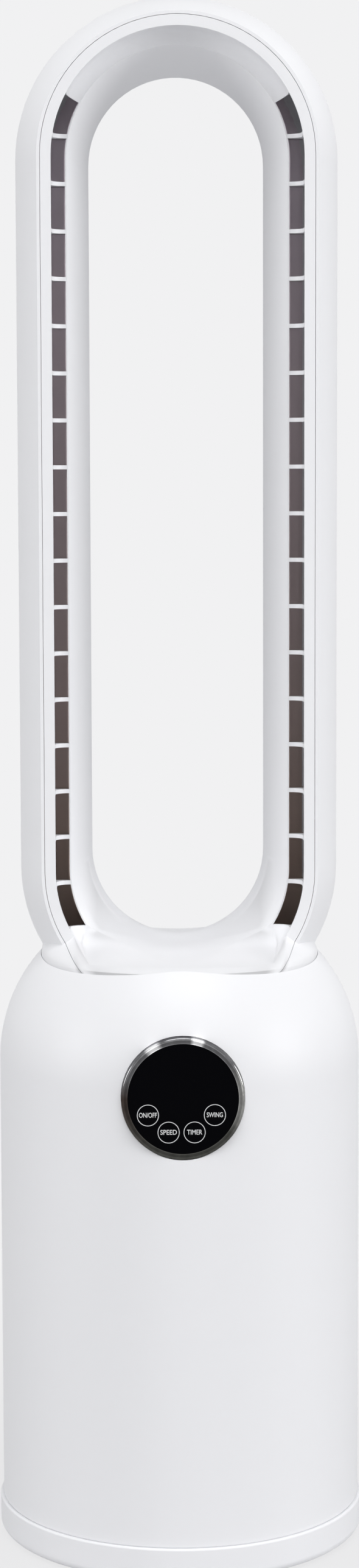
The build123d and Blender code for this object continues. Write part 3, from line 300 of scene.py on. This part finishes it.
def make_loop_places():
    """Masks on the air loop: its hollow, how high up a place is, its soft lower neck and the neck's deck."""
    group, given, result = shader_group(
        "loop places",
        [("Axis Low", "NodeSocketFloat", LOOP_AXIS_LOW), ("Axis High", "NodeSocketFloat", LOOP_AXIS_HIGH),
         ("Fade", "NodeSocketFloat", NECK_FADE)],
        [("Hollow", "NodeSocketFloat"), ("Height", "NodeSocketFloat"), ("Neck", "NodeSocketFloat"),
         ("Deck", "NodeSocketFloat")])

    def over(value, limit):
        """1 where a value is over its limit, else 0."""
        return number(group, "GREATER_THAN", value, limit)

    def under(value, limit):
        """1 where a value is under its limit, else 0."""
        return number(group, "LESS_THAN", value, limit)

    def short_of(limit, value, fade):
        """How far a value is short of its limit, in fades."""
        return number(group, "DIVIDE", number(group, "SUBTRACT", limit, value), fade)

    def line(value, slope, start):
        """A number that grows from its start with a value."""
        return number(group, "MULTIPLY_ADD", value, slope, start)

    across, depth, up = add_node(group, "SeparateXYZ", {0: object_place(group)}).outputs
    low, high, fade = given["Axis Low"], given["Axis High"], given["Fade"]
    side = number(group, "ABSOLUTE", across)
    beyond = number(group, "SUBTRACT", up, least(group, number(group, "MAXIMUM", up, low), high))
    radius = number(group, "SQRT", number(group, "ADD", product(group, across, across),
                                          product(group, beyond, beyond)))

    inner = product(group, over(radius, HOLLOW_INNER_LEAST),
                    over(line(depth, HOLLOW_TAPER, radius), HOLLOW_INNER))
    skins = [line(depth, slope, start) for start, slope in HOLLOW_OUTER]
    lower = number(group, "MAXIMUM", number(group, "SUBTRACT", HOLLOW_WIDENS_BELOW, up), 0.0)
    outer = under(radius, least(group, *skins, line(lower, HOLLOW_WIDENS, HOLLOW_SHALLOW)))
    in_loop = product(group, under(depth, HOLLOW_REAR), outer)

    above = number(group, "SUBTRACT", up, NECK_HOLLOW_LOW)
    widest = least(group, line(above, NECK_HOLLOW_SIDE_GROWS, NECK_HOLLOW_SIDE_LOW), NECK_HOLLOW_SIDE)
    slant = line(side, NECK_HOLLOW_SLANT[0], product(group, depth, NECK_HOLLOW_SLANT[1]))
    corner = least(group, line(above, NECK_HOLLOW_CORNER_GROWS, NECK_HOLLOW_CORNER_LOW), NECK_HOLLOW_CORNER)
    in_neck = product(group, under(up, NECK_HOLLOW_TOP), under(side, widest), under(depth, NECK_HOLLOW_REAR),
                      under(slant, corner))
    hollow = product(group, number(group, "MAXIMUM", in_loop, in_neck), inner, over(depth, HOLLOW_FRONT),
                     over(above, 0.0))

    throat = least(group, short_of(THROAT_INNER, radius, fade), short_of(THROAT_TOP, up, fade),
                   short_of(THROAT_REAR, depth, fade))
    soft = number(group, "MAXIMUM", short_of(NECK_TOP, up, fade), throat)
    neck = mask(group, least(group, soft, short_of(NECK_SIDE, side, fade)))
    deck = product(group, neck, mask(group, short_of(DECK_SIDE, side, DECK_FADE)))
    height = number(group, "DIVIDE", number(group, "SUBTRACT", up, low),
                    number(group, "SUBTRACT", high, low))
    for name, value in (("Hollow", hollow), ("Height", height), ("Neck", neck), ("Deck", deck)):
        group.links.new(value, result[name])
    return group


moulded_surface = make_moulded_surface()
loop_places = make_loop_places()


# ---------------------------------------------------------------- materials

def new_material(name):
    """A material with a Principled BSDF; returns it with its tree and its shader."""
    material = bpy.data.materials.new(name)
    material.use_nodes = True
    tree = material.node_tree
    return material, tree, tree.nodes["Principled BSDF"]


def moulded(name, light, dark, smoothest, roughest, grain_scale=900.0, drift_scale=6.0, bump=0.02,
            specular=0.5, metallic=0.0):
    """A plastic, rubber or plated finish on the shared moulded surface."""
    material, tree, shader = new_material(name)
    surface = add_node(tree, "Group", node_tree=moulded_surface)
    for socket, value in (("Grain Scale", grain_scale), ("Drift Scale", drift_scale),
                          ("Light Tone", (*light, 1)), ("Dark Tone", (*dark, 1)),
                          ("Smoothest", smoothest), ("Roughest", roughest)):
        surface.inputs[socket].default_value = value
    bumps = add_node(tree, "Bump", {"Height": surface.outputs["Height"], "Strength": bump,
                                    "Distance": GRAIN_DEPTH})
    tree.links.new(surface.outputs["Color"], shader.inputs["Base Color"])
    tree.links.new(surface.outputs["Roughness"], shader.inputs["Roughness"])
    tree.links.new(bumps.outputs["Normal"], shader.inputs["Normal"])
    shader.inputs["Specular IOR Level"].default_value = specular
    shader.inputs["Metallic"].default_value = metallic
    return material


gloss_white = moulded("gloss white plastic", (0.922, 0.926, 0.948), (0.907, 0.911, 0.933), 0.40, 0.46,
                      drift_scale=3.0, bump=0.01, specular=0.3)
slide_white = moulded("natural acetal", (0.80, 0.79, 0.76), (0.74, 0.73, 0.70), 0.40, 0.50, bump=0.1)
duct_grey = moulded("dark duct plastic", (0.16, 0.135, 0.13), (0.12, 0.10, 0.10), 0.45, 0.6, bump=0.2)
black_rubber = moulded("black rubber", (0.05, 0.05, 0.05), (0.03, 0.03, 0.03), 0.7, 0.85,
                       grain_scale=1500.0, bump=0.4)
zinc_steel = moulded("zinc plated steel", (0.75, 0.75, 0.74), (0.62, 0.62, 0.62), 0.25, 0.4,
                     drift_scale=40.0, metallic=1.0)
motor_can = moulded("drawn motor can", (0.82, 0.82, 0.82), (0.7, 0.7, 0.7), 0.3, 0.45,
                    drift_scale=30.0, metallic=1.0)
board_green = moulded("circuit board", (0.03, 0.20, 0.09), (0.02, 0.13, 0.06), 0.35, 0.5,
                      drift_scale=120.0)
mesh_black = moulded("black screen mesh", (0.04, 0.04, 0.045), (0.02, 0.02, 0.025), 0.6, 0.8, bump=0.3)
display_black = moulded("black tinted window", (0.0016, 0.0016, 0.0024), (0.001, 0.001, 0.0018),
                        0.06, 0.10, bump=0.0, specular=0.02)
key_print = moulded("light grey key print", (0.74, 0.75, 0.76), (0.66, 0.67, 0.68), 0.4, 0.5, bump=0.0)


def make_chrome():
    """Polished dark chrome round the display, with painted brown and grey reflections and two painted
    highlights above.
    """
    material, tree, shader = new_material("polished dark chrome")
    place = object_place(tree)
    centred = vector(tree, "SUBTRACT", place, (DISPLAY_X, 0, DISPLAY_Z))
    parts = add_node(tree, "SeparateXYZ", {0: centred}).outputs
    turn = spread(tree, number(tree, "ARCTAN2", parts["Z"], parts["X"]), (-pi, pi))
    # painted reflections and highlights, by the angle round the ring
    painted_reflections = colour_ramp(tree, turn, CHROME_PAINTED_REFLECTIONS)
    specks = noise(tree, place, CHROME_FLECK_SCALE, CHROME_FLECK_DETAIL)
    flecks = spread(tree, specks, (0.0, 1.0), CHROME_FLECKS)
    radius = length(tree, vector(tree, "MULTIPLY", centred, (1, 0, 1)))
    # painted reflection bands, from the inner to the outer edge of the ring
    painted_bands = colour_ramp(tree, spread(tree, radius, (CHROME_INNER, CHROME_OUTER)),
                        [(position, (value, value, value)) for position, value in CHROME_PAINTED_BANDS])
    tone = mixed(tree, "RGBA", 1.0, painted_reflections, flecks, "MULTIPLY")
    tree.links.new(mixed(tree, "RGBA", 1.0, tone, painted_bands, "MULTIPLY"), shader.inputs["Base Color"])
    shader.inputs["Metallic"].default_value = 1.0
    shader.inputs["Roughness"].default_value = CHROME_ROUGHNESS
    shader.inputs["Specular Tint"].default_value = (*CHROME_EDGE_TINT, 1)
    return material


bright_chrome = make_chrome()


def make_loop_white():
    """The white plastic of the air loop, with painted brown shade in its unlit hollow, and softly rounded at
    its neck.
    """
    material = gloss_white.copy()
    material.name = "air loop white"
    tree = material.node_tree
    shader = tree.nodes["Principled BSDF"]
    places = add_node(tree, "Group", node_tree=loop_places).outputs
    outside = shader.inputs["Base Color"].links[0].from_socket
    # painted shade in the unlit hollow, darker towards the foot of the loop
    painted_hollow_shade = mixed(tree, "RGBA", places["Height"], (*HOLLOW_SHADE_LOW, 1), (*HOLLOW_SHADE_HIGH, 1))
    tree.links.new(mixed(tree, "RGBA", places["Hollow"], outside, painted_hollow_shade), shader.inputs["Base Color"])
    plain = add_node(tree, "NewGeometry").outputs["Normal"]
    rounded = add_node(tree, "Bevel", {"Radius": NECK_SOFTNESS}, samples=NECK_SAMPLES).outputs["Normal"]
    soft = mixed(tree, "VECTOR", places["Neck"], plain, rounded)
    level = mixed(tree, "VECTOR", product(tree, places["Deck"], DECK_SHARE), soft, DECK_FACING)
    ahead = mixed(tree, "VECTOR", places["Hollow"], level, (0, -1, 0))
    bumps = shader.inputs["Normal"].links[0].from_node
    tree.links.new(vector(tree, "NORMALIZE", ahead), bumps.inputs["Normal"])
    return material


air_loop_white = make_loop_white()

FINISHES = {
    "gloss_white": gloss_white, "slide_white": slide_white, "duct_grey": duct_grey,
    "black_rubber": black_rubber, "zinc_steel": zinc_steel, "motor_can": motor_can,
    "board_green": board_green, "mesh_black": mesh_black, "bright_chrome": bright_chrome,
    "display_black": display_black,
}


def dress_cad_nodes():
    """Each CAD node gets the finish of its material slot."""
    slot_of = {row["node"]: row["material_slot"] for row in frame["record"]["subparts"]}
    for name, piece in nodes.items():
        piece.data.materials.clear()
        loop_part = name in ("loop_front_cover", "loop_rear_shell")
        piece.data.materials.append(air_loop_white if loop_part else FINISHES[slot_of[name]])


dress_cad_nodes()


# ---------------------------------------------------------------- touch keys on the display

# turns a flat piece so that its face looks to the front
FACE_FRONT = Matrix.Rotation(pi / 2, 4, "X")


def key_ring(name, x, z):
    """The thin printed circle round one touch key."""
    mesh = bpy.data.meshes.new(name)
    shape = bmesh.new()
    inner = KEY_RADIUS - KEY_LINE
    section = [(inner, 0), (KEY_RADIUS, 0), (KEY_RADIUS, KEY_LIFT), (inner, KEY_LIFT)]
    turns = [2 * pi * i / KEY_STEPS for i in range(KEY_STEPS)]
    loops = [[shape.verts.new((radius * cos(turn), radius * sin(turn), lift)) for radius, lift in section]
             for turn in turns]
    for i, here in enumerate(loops):
        there = loops[(i + 1) % KEY_STEPS]
        for j in range(len(section)):
            k = (j + 1) % len(section)
            shape.faces.new((here[j], there[j], there[k], here[k]))
    bmesh.ops.recalc_face_normals(shape, faces=shape.faces[:])
    shape.to_mesh(mesh)
    shape.free()
    ring = bpy.data.objects.new(name, mesh)
    bpy.context.scene.collection.objects.link(ring)
    mesh.materials.append(key_print)
    ring.matrix_world = Matrix.Translation((x, GLASS_FACE_Y, z)) @ FACE_FRONT
    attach(ring, "tower")


def key_word(name, word, x, z, width):
    """One printed control word, drawn bold, and narrowed to its width."""
    data = bpy.data.curves.new(name, "FONT")
    data.body = word
    data.size = KEY_TEXT_SIZE
    data.align_x = "CENTER"
    data.align_y = "CENTER"
    data.offset = KEY_TEXT_BOLD
    data.extrude = KEY_LIFT / 2
    data.materials.append(key_print)
    label = bpy.data.objects.new(name, data)
    bpy.context.scene.collection.objects.link(label)
    bpy.context.view_layer.update()
    narrow = width / label.dimensions.x
    label.matrix_world = (Matrix.Translation((x, GLASS_FACE_Y - KEY_LIFT / 2, z))
                          @ FACE_FRONT @ Matrix.Diagonal((narrow, 1.0, 1.0, 1.0)))
    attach(label, "tower")


for key_name, across, up, word, word_width in TOUCH_KEYS:
    key_ring(f"{key_name}_key_ring", DISPLAY_X + across, DISPLAY_Z + up)
    key_word(f"{key_name}_key_word", word, DISPLAY_X + across, DISPLAY_Z + up, word_width)


# ---------------------------------------------------------------- pale strip in the swivel gap

def turned_ring(name, inner, outer, low, high, material, body):
    """A plain ring about the upright axis, turned from a small square section."""
    mesh = bpy.data.meshes.new(name)
    shape = bmesh.new()
    section = [shape.verts.new((radius, 0, z)) for radius, z in
               ((inner, low), (outer, low), (outer, high), (inner, high))]
    edges = [shape.edges.new((section[i - 1], section[i])) for i in range(4)]
    bmesh.ops.spin(shape, geom=section + edges, cent=(0, 0, 0), axis=(0, 0, 1), angle=2 * pi,
                   steps=STRIP_STEPS, use_merge=True)
    bmesh.ops.recalc_face_normals(shape, faces=shape.faces[:])
    shape.to_mesh(mesh)
    shape.free()
    ring = bpy.data.objects.new(name, mesh)
    bpy.context.scene.collection.objects.link(ring)
    mesh.materials.append(material)
    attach(ring, body)


turned_ring("swivel_gap_strip", STRIP_INNER, STRIP_OUTER, STRIP_LOW, STRIP_HIGH, gloss_white,
            "tower")


# ---------------------------------------------------------------- floor, light and camera

def seen_directly(tree):
    """A mask that is 1 for camera, glossy and transmission rays."""
    rays = add_node(tree, "LightPath").outputs
    shown = number(tree, "MAXIMUM", rays["Is Camera Ray"], rays["Is Glossy Ray"])
    return number(tree, "MAXIMUM", shown, rays["Is Transmission Ray"])


def pale_floor_material():
    """Takes the object's shadow near the foot, and fades out to the plain pale tone of the backdrop."""
    material, tree, shader = new_material("pale floor")
    shader.inputs["Base Color"].default_value = (*FLOOR_TONE, 1)
    shader.inputs["Roughness"].default_value = FLOOR_ROUGHNESS
    plain = add_node(tree, "Emission", {"Color": (*BACKDROP_TONE, 1)})
    fade = spread(tree, length(tree, object_place(tree)), FLOOR_FADE, FLOOR_PLAIN, "SMOOTHSTEP")
    mix = add_node(tree, "MixShader", {0: product(tree, fade, seen_directly(tree)),
                                       1: shader.outputs[0], 2: plain.outputs[0]})
    tree.links.new(mix.outputs[0], tree.nodes["Material Output"].inputs["Surface"])
    return material


def add_floor():
    """The wide pale floor under the fan."""
    bpy.ops.mesh.primitive_plane_add(size=FLOOR_SPAN, location=(0, 0, 0))
    floor = bpy.context.object
    floor.name = "floor"
    floor.data.materials.append(pale_floor_material())


def add_area(name, place, target, width, height, watts):
    """A soft box at place, turned towards target."""
    lamp = bpy.data.lights.new(name, "AREA")
    lamp.shape = "RECTANGLE"
    lamp.size = width
    lamp.size_y = height
    lamp.energy = watts
    holder = bpy.data.objects.new(name, lamp)
    bpy.context.scene.collection.objects.link(holder)
    holder.location = place
    holder.rotation_euler = (Vector(target) - Vector(place)).to_track_quat("-Z", "Y").to_euler()


def light_scene():
    """A pale world around the fan, and soft boxes above, in front and at the sides."""
    world = bpy.data.worlds.new("studio")
    bpy.context.scene.world = world
    world.use_nodes = True
    tree = world.node_tree
    tree.nodes.clear()
    output = add_node(tree, "OutputWorld")
    fill = add_node(tree, "Background", {"Color": (1, 1, 1, 1), "Strength": FILL_STRENGTH})
    seen = add_node(tree, "Background", {"Color": (*BACKDROP_TONE, 1), "Strength": 1.0})
    mix = add_node(tree, "MixShader", {0: seen_directly(tree), 1: fill.outputs[0], 2: seen.outputs[0]})
    tree.links.new(mix.outputs[0], output.inputs["Surface"])
    for name, place, target, width, height, watts in SOFT_BOXES:
        add_area(name, place, target, width, height, watts)


def add_camera():
    """The camera, where the photograph was taken from."""
    forward = Vector((sin(CAMERA_PAN) * cos(CAMERA_DIP), cos(CAMERA_PAN) * cos(CAMERA_DIP),
                      -sin(CAMERA_DIP)))
    level = Vector((cos(CAMERA_PAN), -sin(CAMERA_PAN), 0))
    upward = level.cross(forward)
    right = cos(CAMERA_ROLL) * level + sin(CAMERA_ROLL) * upward
    top = cos(CAMERA_ROLL) * upward - sin(CAMERA_ROLL) * level
    data = bpy.data.cameras.new("camera")
    data.sensor_width = SENSOR
    data.lens = FOCAL_PIXELS * SENSOR / PHOTO_HEIGHT
    camera = bpy.data.objects.new("camera", data)
    bpy.context.scene.collection.objects.link(camera)
    turn = Matrix((right, top, -forward)).transposed().to_4x4()
    camera.matrix_world = Matrix.Translation(CAMERA_PLACE) @ turn
    bpy.context.scene.camera = camera


add_floor()
light_scene()
add_camera()
bpy.context.scene.view_settings.view_transform = "Standard"
